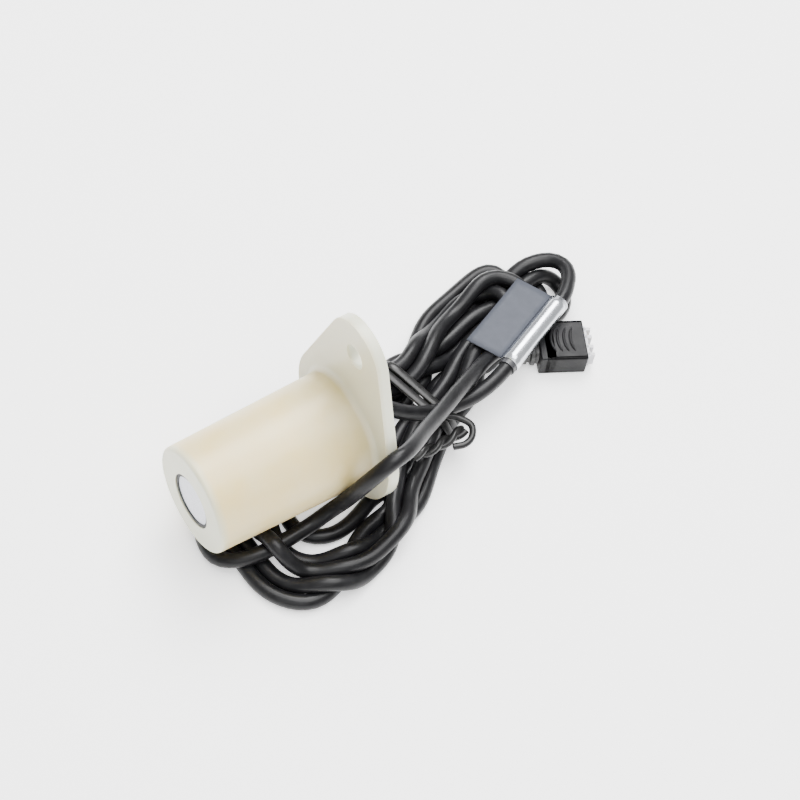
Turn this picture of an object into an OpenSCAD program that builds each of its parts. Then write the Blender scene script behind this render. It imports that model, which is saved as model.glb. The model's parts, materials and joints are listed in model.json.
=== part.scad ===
// Ultrasonic distance sensor: a moulded barrel on a one-eared flange, the transducer inside it, and a coaxial
// lead that is gathered into a tied hank and ends in a three-way connector.
// Millimetres, +Z up. The sensor looks along -Y. The origin is on the surface that the sensor lies on, below
// the middle of the head's length.

/* [Barrel] */
// Diameter of the barrel at its front face
barrel_front_d = 28; // [26:0.5:36]
// Growth of the barrel's radius from its front face to the flange
barrel_draft = 0.9; // [0.3:0.1:2]
// Length of the barrel in front of the flange
barrel_len = 43; // [35:1:60]
// Thickness of the barrel's side wall
barrel_wall = 2.4; // [1.5:0.1:3]
// Thickness of the barrel's front wall
front_wall = 6; // [4:0.5:8]
// Radius of the rounded front edge
rim_r = 1; // [0.4:0.1:2]
// Radius of the fillet between barrel and flange
root_fillet = 1.6; // [0.5:0.1:3]

/* [Flange] */
// Width of the flange's rim around the barrel
flange_rim = 5.1; // [4.6:0.1:8]
// Thickness of the flange
flange_t = 3; // [2.5:0.25:5]
// Distance of the ear's hole beyond the flange's round edge
ear_out = 10; // [6:0.5:15]
// Radius of the ear's round end
ear_r = 10; // [7:0.5:12]
// Diameter of the ear's hole
ear_hole_d = 6.5; // [4:0.1:8]

/* [Transducer] */
// Diameter of the transducer's can
can_d = 12.8; // [11:0.1:16]
// Length of the can
can_len = 9; // [8:0.5:14]
// Thickness of the can's wall
can_wall = 0.5; // [0.3:0.1:1]
// Depth of the white face below the barrel's front face
face_recess = 0.6; // [0.2:0.1:1.5]
// Thickness of the white layer on the can
coat_t = 0.4; // [0.2:0.1:1]
// Thickness of the rubber sleeve around the can
sleeve_wall = 0.8; // [0.5:0.1:2]
// Diameter of the sleeve's rear lip
lip_d = 19; // [17:0.5:20]
// Diameter of the ceramic disc
piezo_d = 8; // [7.8:0.1:9.5]
// Thickness of the ceramic disc
piezo_t = 0.6; // [0.3:0.1:1.2]
// Distance of each terminal pin from the axis
pin_offset = 3.5; // [3.3:0.1:3.7]
// Diameter of a terminal pin
pin_d = 0.6; // [0.4:0.1:1]

/* [Lead] */
// Outer diameter of the lead
lead_d = 4; // [3:0.1:4.5]
// Diameter of the insulation around the lead's inner conductor
dielectric_d = 2.4; // [1.8:0.1:2.5]
// Diameter of the lead's inner conductor
core_d = 0.5; // [0.4:0.1:0.8]
// Thickness of the braid
braid_t = 0.25; // [0.15:0.05:0.3]
// Diameter of the boot's collar
collar_d = 12; // [8:0.5:16]
// Length of the boot behind the flange
boot_len = 8; // [6:0.5:12]
// Depth of the potting behind the housing's open back
potting_t = 8.5; // [6:0.5:12]

/* [Label and tie] */
// Length of the label along the lead
label_len = 24.5; // [15:0.5:26]
// Width of the label's flag
flag_w = 11.4; // [6:0.2:16]
// Thickness of the doubled foil
flag_t = 0.3; // [0.2:0.05:0.6]
// Width of the tie's band
tie_w = 2.2; // [1.5:0.1:3]
// Thickness of the tie's band
tie_t = 0.8; // [0.5:0.1:1.2]

/* [Connector] */
// Width of the connector's shell
shell_w = 12; // [11:0.5:16]
// Length of the connector's shell
shell_len = 12.5; // [10:0.5:18]
// Height of the connector's shell
shell_h = 6.8; // [6:0.2:9]
// Thickness of the shell's wall around the insert
shell_wall = 1.2; // [0.8:0.1:1.5]
// Length of the stepped neck behind the shell
neck_len = 5; // [3:0.5:8]
// Distance between neighbouring contacts
contact_pitch = 3; // [2.5:0.1:3.2]
// How far the insert's teeth stand out of the shell
tooth_out = 2.2; // [1:0.1:3]

/* [Hidden] */
$fn = 64;
fit_gap = 0.05;
cut = 0.5;

// The head, measured as depths behind its front face
head_len = barrel_len + flange_t;
front_r = barrel_front_d / 2;
rear_r = front_r + barrel_draft;
flange_r = rear_r + flange_rim;
ear_reach = flange_r + ear_out;
cavity_r = front_r - barrel_wall;
axis_z = flange_r;
front_y = -head_len / 2;
back_y = head_len / 2;

// The transducer's stack
seat_r = can_d / 2 + sleeve_wall;
can_front = face_recess + coat_t;
can_back = can_front + can_len;
can_bore_r = can_d / 2 - can_wall;
piezo_front = can_front + can_wall;
pad_front = piezo_front + piezo_t;
disc_t = 1.2;
disc_front = can_back - disc_t;
pad_t = disc_front - pad_front - 1.2;
pad_r = pin_offset - 0.5;
inner_lead_d = 0.35;
pin_back = can_back + 4.5;
sleeve_back = can_back + 0.2;
lip_t = 2.5;
plug_t = 7;
plug_front = sleeve_back + 0.3;
plug_hole_r = 5.2;

// The lead's stripped end, stepped back inside the cavity
potting_front = head_len - potting_t - 0.4;
jacket_front = potting_front - 3;
braid_front = jacket_front - 1.5;
dielectric_front = braid_front - 1.5;
core_front = dielectric_front - 1;
braid_r = dielectric_d / 2 + braid_t;
solder_r = 0.9;
wire_d = core_d;
tube_wall = 0.35;
collar_t = 2.5;
lead_back = head_len + boot_len;
boot_tip_r = lead_d / 2 + 0.9;
boot_root_r = lead_d / 2 + 2;

// The lead's two free stretches: from the boot to the hank, and from the hank to the connector
LEAD = [[0, 31, 20], [2.5, 37.5, 15.5], [4, 44.5, 12], [4.5, 51, 10.8], [4.7, 57, 10.5], [3.9, 63, 10.7],
    [1.5, 70.5, 11], [-3.3, 82, 11], [-8, 93.5, 11], [-11.5, 98.5, 10.5], [-15.5, 101.7, 9.8],
    [-19.5, 101.9, 9], [-22.7, 99, 8], [-24, 93, 7]];
TAIL = [[-9, -12.5, 2.1], [-3, -17.5, 2.2], [3, -20.2, 2.6], [8.5, -20.2, 3.4], [12.3, -16.8, 5],
    [14.2, -11, 6.2], [14.3, -4, 6.6], [13.9, 3, 7], [14.5, 8, 10.5], [16.5, 11, 16.5], [18.6, 14, 24],
    [19.8, 19.8, 30.8], [18.4, 26, 30], [13.5, 34.5, 25], [9, 43, 20.5], [4.5, 51.5, 17],
    [0.5, 59.5, 13.5], [-3, 66.5, 10], [-5.5, 73, 6.5], [-5.5, 79, 3.6]];
lead_sides = 8;

// The hank's outline: a wide lobe under the head, a waist where it is tied, and a narrow lobe behind
low_lobe = [4, 4];
low_lobe_r = 26;
waist = [-4, 46];
waist_r = 8;
high_lobe = [-18.5, 95];
high_lobe_r = 10;
low_h = 4.6;
high_h = 8.4;
plug_gap = 0.3;

// Room that the hank leaves on both sides of the flange, which its turns pass beside
flange_room = 2.6;

// The label sits on the straight stretch between these two points of the lead
label_start = LEAD[6];
label_end = LEAD[8];
label_turn = atan2(label_end.y - label_start.y, label_end.x - label_start.x);
label_inset = (norm(label_end - label_start) - label_len) / 2;
sleeve_r = lead_d / 2 + 0.3;
foil_r = sleeve_r + 0.15;
sleeve_proud = 1.4;

// The tie crosses the waist at a slant, and its twisted ends stand out beside it
tie_turn = 20;
tie_half_w = waist_r + 1.2;
tie_h = 13;
tie_end_d = 2.4;
TIE_END = [[5.6, 49.3, 6.8], [8.4, 42.5, 7.8], [13, 49, 7]];

// The connector lies flat, turned from +Y towards +X
connector_at = [-5.2, 79.4, shell_h / 2];
connector_turn = -27;
neck_r = shell_h / 2 - 0.4;
insert_w = shell_w - 2 * shell_wall;
insert_h = shell_h - 2 * shell_wall;
insert_len = 8;
tooth_w = 1.3;
contact_count = 3;
contact_w = 0.9;
contact_t = 0.4;

// Turns a shape drawn around +Z into one that runs along +Y, with its zero at the head's front face
module along_head() {
    translate([0, front_y, axis_z]) rotate([-90, 0, 0]) children();
}

// A ring or disc from one depth to another
module ring(from, to, outer_r, inner_r = 0) {
    translate([0, 0, from]) difference() {
        cylinder(h = to - from, r = outer_r);
        if (inner_r > 0) translate([0, 0, -cut]) cylinder(h = to - from + 2 * cut, r = inner_r);
    }
}

// A round bar between two points
module bar(a, b, d) {
    run = b - a;
    len = norm(run);
    translate(a) rotate([0, acos(run.z / len), atan2(run.y, run.x)]) cylinder(h = len, d = d, $fn = 24);
}

// Two discs joined by the straight lines that touch both
module link(a, a_r, b, b_r) {
    gap = norm(b - a);
    turn = atan2(b.y - a.y, b.x - a.x);
    lean = acos((a_r - b_r) / gap);
    translate(a) circle(r = a_r, $fn = 96);
    translate(b) circle(r = b_r, $fn = 96);
    polygon([for (s = [-1, 1]) a + a_r * [cos(turn + s * lean), sin(turn + s * lean)],
        for (s = [1, -1]) b + b_r * [cos(turn + s * lean), sin(turn + s * lean)]]);
}

// A round-edged bar standing on its width and height, running along +Y from zero
module slab(w, h, len, r) {
    rotate([-90, 0, 0]) linear_extrude(height = len) {
        square([w - 2 * r, h], center = true);
        square([w, h - 2 * r], center = true);
        for (x = [-1, 1], y = [-1, 1]) translate([x * (w / 2 - r), y * (h / 2 - r)]) circle(r = r);
    }
}

// A tube swept along a list of points: one ring of corners at each point, and a flat end at each end
function heading(p, i) = let (a = p[max(i - 1, 0)], b = p[min(i + 1, len(p) - 1)]) (b - a) / norm(b - a);
function sideways(t) = let (s = cross(t, [0, 0, 1])) s / norm(s);
function corners(p, i, r, n) = let (t = heading(p, i), s = sideways(t), u = cross(s, t))
    [for (k = [0:n - 1]) p[i] + r * (cos(360 * (k + 0.5) / n) * s + sin(360 * (k + 0.5) / n) * u)];
module sweep(p, r, n) {
    last = len(p) - 1;
    polyhedron(points = [for (i = [0:last]) each corners(p, i, r, n)],
        faces = [[for (k = [0:n - 1]) k],
            for (i = [0:last - 1], k = [0:n - 1])
                [i * n + k, (i + 1) * n + k, (i + 1) * n + (k + 1) % n, i * n + (k + 1) % n],
            [for (k = [n - 1:-1:0]) last * n + k]]);
}

// ---- The head ----

module barrel_profile() {
    polygon([[0, 0], [front_r - rim_r, 0],
        for (a = [15:15:75]) [front_r - rim_r + rim_r * sin(a), rim_r - rim_r * cos(a)],
        [front_r, rim_r], [rear_r, barrel_len - root_fillet],
        for (a = [15:15:75])
            [rear_r + root_fillet - root_fillet * cos(a), barrel_len - root_fillet + root_fillet * sin(a)],
        [rear_r + root_fillet, barrel_len], [rear_r + root_fillet, barrel_len + flange_t / 2],
        [0, barrel_len + flange_t / 2]]);
}

module housing() {
    color("ivory") along_head() difference() {
        union() {
            rotate_extrude($fn = 96) barrel_profile();
            translate([0, 0, barrel_len]) linear_extrude(height = flange_t)
                link([0, 0], flange_r, [0, -ear_reach], ear_r);
        }
        translate([0, 0, -cut]) cylinder(h = head_len + 2 * cut, r = seat_r);
        translate([0, 0, front_wall]) cylinder(h = head_len, r = cavity_r);
        translate([0, -ear_reach, barrel_len - cut]) cylinder(h = flange_t + 2 * cut, d = ear_hole_d);
    }
}

module isolation_sleeve() {
    color("black") along_head() {
        ring(face_recess / 2, front_wall, seat_r, can_d / 2);
        ring(front_wall, front_wall + lip_t, lip_d / 2, can_d / 2);
        ring(front_wall + lip_t, sleeve_back, seat_r, can_d / 2);
    }
}

module matching_layer() {
    color("whitesmoke") along_head() ring(face_recess, can_front, can_d / 2);
}

module transducer_can() {
    color("silver") along_head() difference() {
        ring(can_front, can_back, can_d / 2);
        translate([0, 0, piezo_front]) cylinder(h = can_len, r = can_bore_r);
    }
}

module piezo_disc() {
    color("tan") along_head() ring(piezo_front, pad_front, piezo_d / 2);
}

module damping_pad() {
    color("dimgray") along_head() ring(pad_front, pad_front + pad_t, pad_r);
}

module pin_pair(from, to, d) {
    for (x = [-1, 1]) translate([x * pin_offset, 0, from]) cylinder(h = to - from, d = d, $fn = 24);
}

module piezo_leads() {
    color("orange") along_head() pin_pair(pad_front, disc_front - 0.4, inner_lead_d);
}

module terminal_disc() {
    color("saddlebrown") along_head() difference() {
        ring(disc_front, can_back, can_bore_r);
        pin_pair(disc_front - cut, can_back + cut, pin_d);
    }
}

module terminal_pins() {
    color("gold") along_head() pin_pair(disc_front - 0.4, pin_back, pin_d);
}

module foam_plug() {
    color("darkslategray") along_head() ring(plug_front, plug_front + plug_t, cavity_r - fit_gap, plug_hole_r);
}

// A conductor's end on its pin, and the point where it leaves the lead
function pin_end(x) = [x * pin_offset, 0, pin_back];
core_exit = [0, 0, core_front];
braid_exit = [-braid_r - wire_d / 2, 0, braid_front + 0.6];

module solder_joints() {
    color("silver") along_head() difference() {
        for (x = [-1, 1]) translate(pin_end(x)) sphere(r = solder_r, $fn = 24);
        pin_pair(pin_back - 2, pin_back, pin_d);
        bar(pin_end(1), core_exit, wire_d);
        bar(pin_end(-1), braid_exit, wire_d);
    }
}

module hot_wire() {
    color("goldenrod") along_head() bar(pin_end(1), core_exit, wire_d);
}

module ground_wire() {
    color("peru") along_head() bar(pin_end(-1), braid_exit, wire_d);
}

// A sleeve over the first part of a wire, clear of its solder joint
module wire_sleeve(a, b) {
    way = (b - a) / norm(b - a);
    from = a + way * (solder_r + 0.2);
    to = a + way * norm(b - a) * 0.6;
    difference() {
        bar(from, to, wire_d + 2 * tube_wall);
        bar(from - way, to + way, wire_d);
    }
}

module shrink_sleeves() {
    color("darkred") along_head() {
        wire_sleeve(pin_end(1), core_exit);
        wire_sleeve(pin_end(-1), braid_exit);
    }
}

// ---- The lead's end in the housing ----

module coax_core() {
    color("goldenrod") along_head() difference() {
        ring(core_front, lead_back, core_d / 2);
        bar(pin_end(1), core_exit, wire_d);
    }
}

module coax_dielectric() {
    color("white") along_head() ring(dielectric_front, lead_back, dielectric_d / 2, core_d / 2);
}

module coax_braid() {
    color("peru") along_head() ring(braid_front, lead_back, braid_r, dielectric_d / 2);
}

module lead_end() {
    color("black") along_head() ring(jacket_front, lead_back, lead_d / 2, braid_r);
}

module potting() {
    color("dimgray") along_head() difference() {
        ring(potting_front, head_len - 0.4, cavity_r, lead_d / 2);
        ring(head_len - collar_t, head_len + cut, collar_d / 2);
    }
}

module cable_boot() {
    groove = 0.45;
    rib = boot_len / 8;
    color("black") along_head() {
        ring(head_len - collar_t, head_len, collar_d / 2, lead_d / 2);
        translate([0, 0, head_len]) difference() {
            cylinder(h = boot_len, r1 = boot_root_r, r2 = boot_tip_r);
            translate([0, 0, -cut]) cylinder(h = boot_len + 2 * cut, r = lead_d / 2);
            for (i = [1:3]) translate([0, 0, (2 * i - 0.5) * rib])
                ring(0, rib * 0.8, boot_root_r + cut, boot_tip_r - groove);
        }
    }
}

// ---- The free lead ----

module cable_lead() {
    color("black") sweep(LEAD, lead_d / 2, lead_sides);
}

module cable_tail() {
    color("black") sweep(TAIL, lead_d / 2, lead_sides);
}

module cable_hank() {
    color([0.1, 0.1, 0.1]) difference() {
        union() {
            linear_extrude(height = low_h) link(low_lobe, low_lobe_r, waist, waist_r);
            linear_extrude(height = high_h) link(waist, waist_r, high_lobe, high_lobe_r);
        }
        translate([-low_lobe_r, back_y - flange_t - flange_room, -cut])
            cube([low_lobe_r + sqrt(pow(flange_r, 2) - pow(flange_r - low_h, 2)) + plug_gap,
                flange_t + 2 * flange_room, low_h + 2 * cut]);
        tie_loop(tie_t);
        on_connector() translate([-shell_w / 2 - plug_gap, -plug_gap, -high_h])
            cube([shell_w + 2 * plug_gap, neck_len + shell_len, 3 * high_h]);
    }
}

// ---- What is on the lead ----

// Places a shape that runs along +X from the label's lower end
module on_label() {
    translate(label_start) rotate([0, 0, label_turn]) translate([label_inset, 0, 0]) children();
}

module lead_ring(from, to, outer_r, inner_r) {
    translate([from, 0, 0]) rotate([0, 90, 0]) ring(0, to - from, outer_r, inner_r);
}

module label_sleeve() {
    color([0.15, 0.15, 0.16]) on_label()
        lead_ring(-sleeve_proud, label_len - 0.5, sleeve_r, lead_d / 2);
}

module foil_label() {
    color("silver") on_label() {
        lead_ring(0, label_len, foil_r, sleeve_r);
        translate([0, sleeve_r + 0.05, -flag_t / 2]) cube([label_len, flag_w, flag_t]);
    }
}

// The tie's loop around the waist, its band t thick
module tie_loop(t) {
    translate([waist.x, waist.y, 0]) rotate([90, 0, tie_turn]) translate([0, 0, -tie_w / 2])
        linear_extrude(height = tie_w) difference() {
            tie_outline(0);
            tie_outline(t);
        }
}

module tie_outline(inset) {
    r = 4;
    w = tie_half_w - inset;
    translate([-w, inset]) square([2 * w, tie_h - r - inset]);
    translate([-w + r, inset]) square([2 * (w - r), tie_h - 2 * inset]);
    for (x = [-1, 1]) translate([x * (w - r), tie_h - r - inset]) circle(r = r);
}

module twist_tie() {
    color([0.08, 0.08, 0.08]) {
        tie_loop(tie_t);
        for (i = [0:1]) bar(TIE_END[i], TIE_END[i + 1], tie_end_d);
    }
}

// ---- The connector ----

// Places a shape that runs along +Y from the connector's neck
module on_connector() {
    translate(connector_at) rotate([0, 0, connector_turn]) children();
}

// One blade-shaped shape for each contact
module each_contact() {
    for (i = [0:contact_count - 1])
        translate([(i - (contact_count - 1) / 2) * contact_pitch, 0, 0]) children();
}

module connector_neck() {
    color("black") on_connector() difference() {
        union() {
            slab(2 * neck_r + 2, 2 * neck_r, neck_len, 1.6);
            for (i = [0:1]) translate([0, 1 + 2 * i, 0]) slab(2 * neck_r + 3, 2 * neck_r + 0.6, 1, 1.8);
        }
        rotate([-90, 0, 0]) translate([0, 0, -cut]) cylinder(h = neck_len + 2 * cut, d = lead_d);
    }
}

module connector_shell() {
    color([0.07, 0.07, 0.07]) on_connector() translate([0, neck_len, 0]) difference() {
        slab(shell_w, shell_h, shell_len, 1.2);
        translate([0, shell_len - insert_len, 0]) slab(insert_w, insert_h, insert_len + cut, 0.4);
        translate([0, -cut, 0]) rotate([-90, 0, 0]) cylinder(h = shell_len, d = lead_d);
    }
}

module connector_insert() {
    color("lightgray") on_connector() translate([0, neck_len + shell_len - insert_len, 0]) difference() {
        union() {
            slab(insert_w - 2 * fit_gap, insert_h - 2 * fit_gap, insert_len + tooth_out / 2, 0.4);
            each_contact() translate([-tooth_w / 2, 0, -insert_h / 2 + fit_gap])
                cube([tooth_w, insert_len + tooth_out, insert_h - 2 * fit_gap]);
        }
        each_contact() translate([-contact_w / 2, -cut, -contact_t / 2])
            cube([contact_w, insert_len + tooth_out + 2 * cut, contact_t]);
    }
}

module connector_contacts() {
    color("gold") on_connector() translate([0, neck_len + shell_len - insert_len, 0])
        each_contact() translate([-contact_w / 2, 0.5, -contact_t / 2])
            cube([contact_w, insert_len + tooth_out - 1, contact_t]);
}

housing();
isolation_sleeve();
matching_layer();
transducer_can();
piezo_disc();
damping_pad();
piezo_leads();
terminal_disc();
terminal_pins();
solder_joints();
foam_plug();
hot_wire();
ground_wire();
shrink_sleeves();
coax_core();
coax_dielectric();
coax_braid();
lead_end();
potting();
cable_boot();
cable_lead();
cable_hank();
cable_tail();
label_sleeve();
foil_label();
twist_tie();
connector_neck();
connector_shell();
connector_insert();
connector_contacts();
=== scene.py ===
"""Ultrasonic distance sensor: the looks of its moulded head, its tied hank of coaxial lead and its plug.

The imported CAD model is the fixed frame. Sizes in this file are in millimetres where a name ends in _mm or a
class says so, and in metres elsewhere. The sensor looks along -Y and stands on the floor at z = 0.
"""

from __future__ import annotations

import json
import logging
import math

from collections.abc import Sequence
from dataclasses import dataclass, field
from enum import Enum

import bmesh
import bpy
import numpy as np
from mathutils import Matrix, Vector


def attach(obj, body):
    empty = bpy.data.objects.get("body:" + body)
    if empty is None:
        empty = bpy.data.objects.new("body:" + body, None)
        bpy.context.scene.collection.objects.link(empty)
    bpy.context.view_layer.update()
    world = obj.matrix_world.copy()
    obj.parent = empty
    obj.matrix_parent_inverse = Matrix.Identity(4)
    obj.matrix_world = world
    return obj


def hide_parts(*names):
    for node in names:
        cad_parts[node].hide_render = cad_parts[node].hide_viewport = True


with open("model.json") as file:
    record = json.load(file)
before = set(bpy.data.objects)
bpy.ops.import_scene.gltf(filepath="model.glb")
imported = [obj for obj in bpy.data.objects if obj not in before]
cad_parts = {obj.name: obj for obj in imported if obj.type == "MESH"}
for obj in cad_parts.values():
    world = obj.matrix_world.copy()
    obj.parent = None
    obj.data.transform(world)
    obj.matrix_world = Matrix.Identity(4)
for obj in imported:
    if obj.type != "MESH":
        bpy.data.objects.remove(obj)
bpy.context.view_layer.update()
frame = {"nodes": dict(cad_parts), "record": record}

LOG = logging.getLogger("sensor")
MM = 0.001
BODY = "root"
FLOOR_SIZE = 6.0

Colour = tuple[float, float, float]
Point = tuple[float, float, float]
Spot = tuple[float, float]


# ---- Shader graphs ----


class Wire:
    """One output of a shader node that takes part in sums, as a number, a vector or a colour."""

    def __init__(self, graph: Graph, socket: bpy.types.NodeSocket) -> None:
        """Wraps a socket.

        Args:
            graph: the graph that the socket is in.
            socket: the output socket.
        """
        self.graph = graph
        self.socket = socket

    def _join(self, operation: str, left: Wire | float, right: Wire | float) -> Wire:
        """Adds the node that joins two values.

        Args:
            operation: the operation's name, such as ADD.
            left: the first value.
            right: the second value.

        Returns:
            The node's output.
        """
        if self.socket.type == "RGBA":
            return self.graph.mix(left, right, 1.0, operation)
        kind = "ShaderNodeVectorMath" if self.socket.type == "VECTOR" else "ShaderNodeMath"
        return self.graph.node(kind, {"operation": operation}, {0: left, 1: right})

    def __add__(self, other: Wire | float) -> Wire:
        """Gives this plus other."""
        return self._join("ADD", self, other)

    def __radd__(self, other: float) -> Wire:
        """Gives other plus this."""
        return self._join("ADD", other, self)

    def __sub__(self, other: Wire | float) -> Wire:
        """Gives this minus other."""
        return self._join("SUBTRACT", self, other)

    def __rsub__(self, other: float) -> Wire:
        """Gives other minus this."""
        return self._join("SUBTRACT", other, self)

    def __mul__(self, other: Wire | float) -> Wire:
        """Gives this times other."""
        return self._join("MULTIPLY", self, other)

    def __rmul__(self, other: float) -> Wire:
        """Gives other times this."""
        return self._join("MULTIPLY", other, self)


class Graph:
    """The node graph of one material, around its Principled shader."""

    def __init__(self, name: str) -> None:
        """Makes an empty material.

        Args:
            name: the material's name.
        """
        self.material = bpy.data.materials.new(name)
        self.material.use_nodes = True
        self.tree = self.material.node_tree
        self.shader = self.tree.nodes["Principled BSDF"]

    def node(
        self,
        kind: str,
        settings: dict[str, object] | None = None,
        inputs: dict[str | int, object] | None = None,
        output: str | int = 0,
    ) -> Wire:
        """Adds a node.

        Args:
            kind: the node's type.
            settings: its settings, set first; "stops" are a ramp's (place, colour) pairs.
            inputs: values or wires for its input sockets, by name or place.
            output: the output socket to give back.

        Returns:
            That output.
        """
        made = self.tree.nodes.new(kind)
        for key, value in (settings or {}).items():
            if key == "stops":
                self._set_stops(made.color_ramp, value)
            else:
                setattr(made, key, value)
        for key, value in (inputs or {}).items():
            self.feed(made.inputs[key], value)
        return Wire(self, made.outputs[output])

    def _set_stops(self, ramp: bpy.types.ColorRamp, stops: Sequence[tuple[float, Colour]]) -> None:
        """Sets a ramp's stops.

        Args:
            ramp: the colour ramp.
            stops: place and colour of each stop, in order.
        """
        while len(ramp.elements) < len(stops):
            ramp.elements.new(1.0)
        for element, (place, colour) in zip(ramp.elements, stops):
            element.position = place
            element.color = (*colour, 1.0)

    def feed(self, socket: bpy.types.NodeSocket, value: object) -> None:
        """Links a wire to an input socket, or sets a plain value on it.

        Args:
            socket: the input socket.
            value: a wire, a number, a colour or a vector.
        """
        if isinstance(value, Wire):
            self.tree.links.new(value.socket, socket)
        elif socket.type == "RGBA" and len(value) == 3:
            socket.default_value = (*value, 1.0)
        else:
            socket.default_value = value

    def set(self, **values: object) -> None:
        """Feeds the Principled shader's sockets, named with underscores for spaces."""
        for name, value in values.items():
            self.feed(self.shader.inputs[name.replace("_", " ").title().replace("Ior", "IOR")], value)

    def place(self) -> Wire:
        """Gives the point on the object, in metres."""
        return self.node("ShaderNodeTexCoord", output="Object")

    def axis(self, name: str) -> Wire:
        """Gives one coordinate of the point on the object, X, Y or Z."""
        return self.node("ShaderNodeSeparateXYZ", inputs={0: self.place()}, output=name)

    def noise(self, size: float, detail: float = 3.0) -> Wire:
        """Adds soft clouds from 0 to 1.

        Args:
            size: the clouds' size in metres.
            detail: how many finer layers they have.

        Returns:
            The clouds' brightness.
        """
        inputs = {"Vector": self.place(), "Scale": 1 / size, "Detail": detail}
        return self.node("ShaderNodeTexNoise", inputs=inputs, output="Fac")

    def mix(self, first: object, second: object, share: object, blend: str = "MIX") -> Wire:
        """Mixes two colours.

        Args:
            first: the first colour.
            second: the second colour.
            share: how much of the second, from 0 to 1.
            blend: how they join.

        Returns:
            The mixed colour.
        """
        settings = {"data_type": "RGBA", "blend_type": blend}
        return self.node("ShaderNodeMix", settings, {0: share, 6: first, 7: second}, output=2)

    def ramp(self, value: Wire, stops: Sequence[tuple[float, Colour]]) -> Wire:
        """Turns a number into a colour.

        Args:
            value: a number from 0 to 1.
            stops: place and colour of each stop.

        Returns:
            The colour.
        """
        return self.node("ShaderNodeValToRGB", {"stops": stops}, {0: value})

    def remap(self, value: Wire, low: float, high: float, to_low: float = 0.0, to_high: float = 1.0) -> Wire:
        """Stretches a number from one range to another, and keeps it there.

        Args:
            value: the number.
            low: its value that becomes to_low.
            high: its value that becomes to_high.
            to_low: the new range's start.
            to_high: the new range's end.

        Returns:
            The new number.
        """
        return self.node("ShaderNodeMapRange", inputs={0: value, 1: low, 2: high, 3: to_low, 4: to_high})

    def bump(self, height: Wire, relief: float) -> Wire:
        """Adds a bump.

        Args:
            height: the pattern's height from 0 to 1.
            relief: the relief's depth in metres.

        Returns:
            The bumped normal.
        """
        return self.node("ShaderNodeBump", inputs={"Strength": 1.0, "Distance": relief, "Height": height})


# ---- Finishes ----


@dataclass(frozen=True)
class Finish:
    """A plain finish: two close tones in soft clouds, a roughness that varies, and a fine grain."""

    name: str
    tone: Colour
    second: Colour
    roughness: float
    spread: float = 0.08
    cloud: float = 4 * MM
    grain: float = 0.25 * MM
    relief: float = 0.01 * MM
    metallic: float = 0.0
    coat: float = 0.0
    coat_roughness: float = 0.2
    sheen: float = 0.5
    subsurface: float = 0.0
    depth: float = 2 * MM

    def colour(self, graph: Graph) -> Wire:
        """Gives the surface's colour."""
        return graph.mix(self.tone, self.second, graph.remap(graph.noise(self.cloud), 0.35, 0.65))

    def height(self, graph: Graph) -> Wire:
        """Gives the grain's height."""
        return graph.noise(self.grain, 4.0)

    def gloss(self, graph: Graph) -> Wire:
        """Gives the roughness, which drifts around its middle value."""
        low, high = self.roughness - self.spread, self.roughness + self.spread
        return graph.remap(graph.noise(self.cloud / 2, 4.0), 0.3, 0.7, low, high)

    def build(self) -> bpy.types.Material:
        """Builds the material."""
        graph = Graph(self.name)
        graph.set(
            base_color=self.colour(graph),
            roughness=self.gloss(graph),
            metallic=self.metallic,
            coat_weight=self.coat,
            coat_roughness=self.coat_roughness,
            specular_ior_level=self.sheen,
            normal=graph.bump(self.height(graph), self.relief),
        )
        if self.subsurface > 0:
            graph.set(
                subsurface_weight=self.subsurface,
                subsurface_radius=(1.0, 0.85, 0.6),
                subsurface_scale=self.depth,
            )
        return graph.material


@dataclass(frozen=True)
class MilkyPlastic(Finish):
    """The housing's plastic: creamy over the filled barrel, paler in the flange and at the front rim, with
    painted shade as a darker band where the barrel meets the flange.
    """

    rim: Colour = (0.56, 0.56, 0.42)
    flange: Colour = (0.66, 0.665, 0.53)
    front_y: float = -23 * MM
    back_y: float = 23 * MM

    def colour(self, graph: Graph) -> Wire:
        """Gives the tone along the head, with painted shade near the flange, and faint clouds."""
        along = graph.remap(graph.axis("Y"), self.front_y, self.back_y)
        stops = [
            (0.0, self.rim),
            (0.05, self.tone),
            (0.55, self.tone),
            # painted shade: the darker second tone stands for the shade where the barrel meets the flange
            (0.9, self.second),
            (0.96, self.flange),
        ]
        clouds = graph.remap(graph.noise(self.cloud), 0.3, 0.7, 0.0, 0.25)
        return graph.mix(graph.ramp(along, stops), self.flange, clouds)


@dataclass(frozen=True)
class Speckled(Finish):
    """A coating full of fine grains."""

    def colour(self, graph: Graph) -> Wire:
        """Gives pale grains on a slightly darker ground."""
        return graph.mix(self.second, self.tone, graph.remap(graph.noise(self.grain, 2.0), 0.4, 0.6))


@dataclass(frozen=True)
class Cells(Finish):
    """An open-cell foam."""

    def height(self, graph: Graph) -> Wire:
        """Gives the cells' walls."""
        inputs = {"Vector": graph.place(), "Scale": 1 / self.grain}
        return graph.node("ShaderNodeTexVoronoi", inputs=inputs, output="Distance")


@dataclass(frozen=True)
class Weave(Finish):
    """A braid of fine wires that cross at a slant around the lead, which runs along Y."""

    def height(self, graph: Graph) -> Wire:
        """Gives the two sets of slanting wires."""
        inputs = {"Vector": graph.place(), "Scale": 1 / self.grain, "Distortion": 0.4}
        first = graph.node("ShaderNodeTexWave", {"bands_direction": "DIAGONAL"}, inputs, output="Fac")
        second = graph.node("ShaderNodeTexWave", {"bands_direction": "Y"}, inputs, output="Fac")
        return first * 0.5 + second * 0.5


@dataclass(frozen=True)
class Brushed(Finish):
    """A metal skin with faint creases along the label."""

    creases: float = 2.5 * MM

    def height(self, graph: Graph) -> Wire:
        """Gives soft creases under a fine grain."""
        return graph.noise(self.creases, 1.0) * 0.8 + graph.noise(self.grain, 3.0) * 0.2


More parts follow.
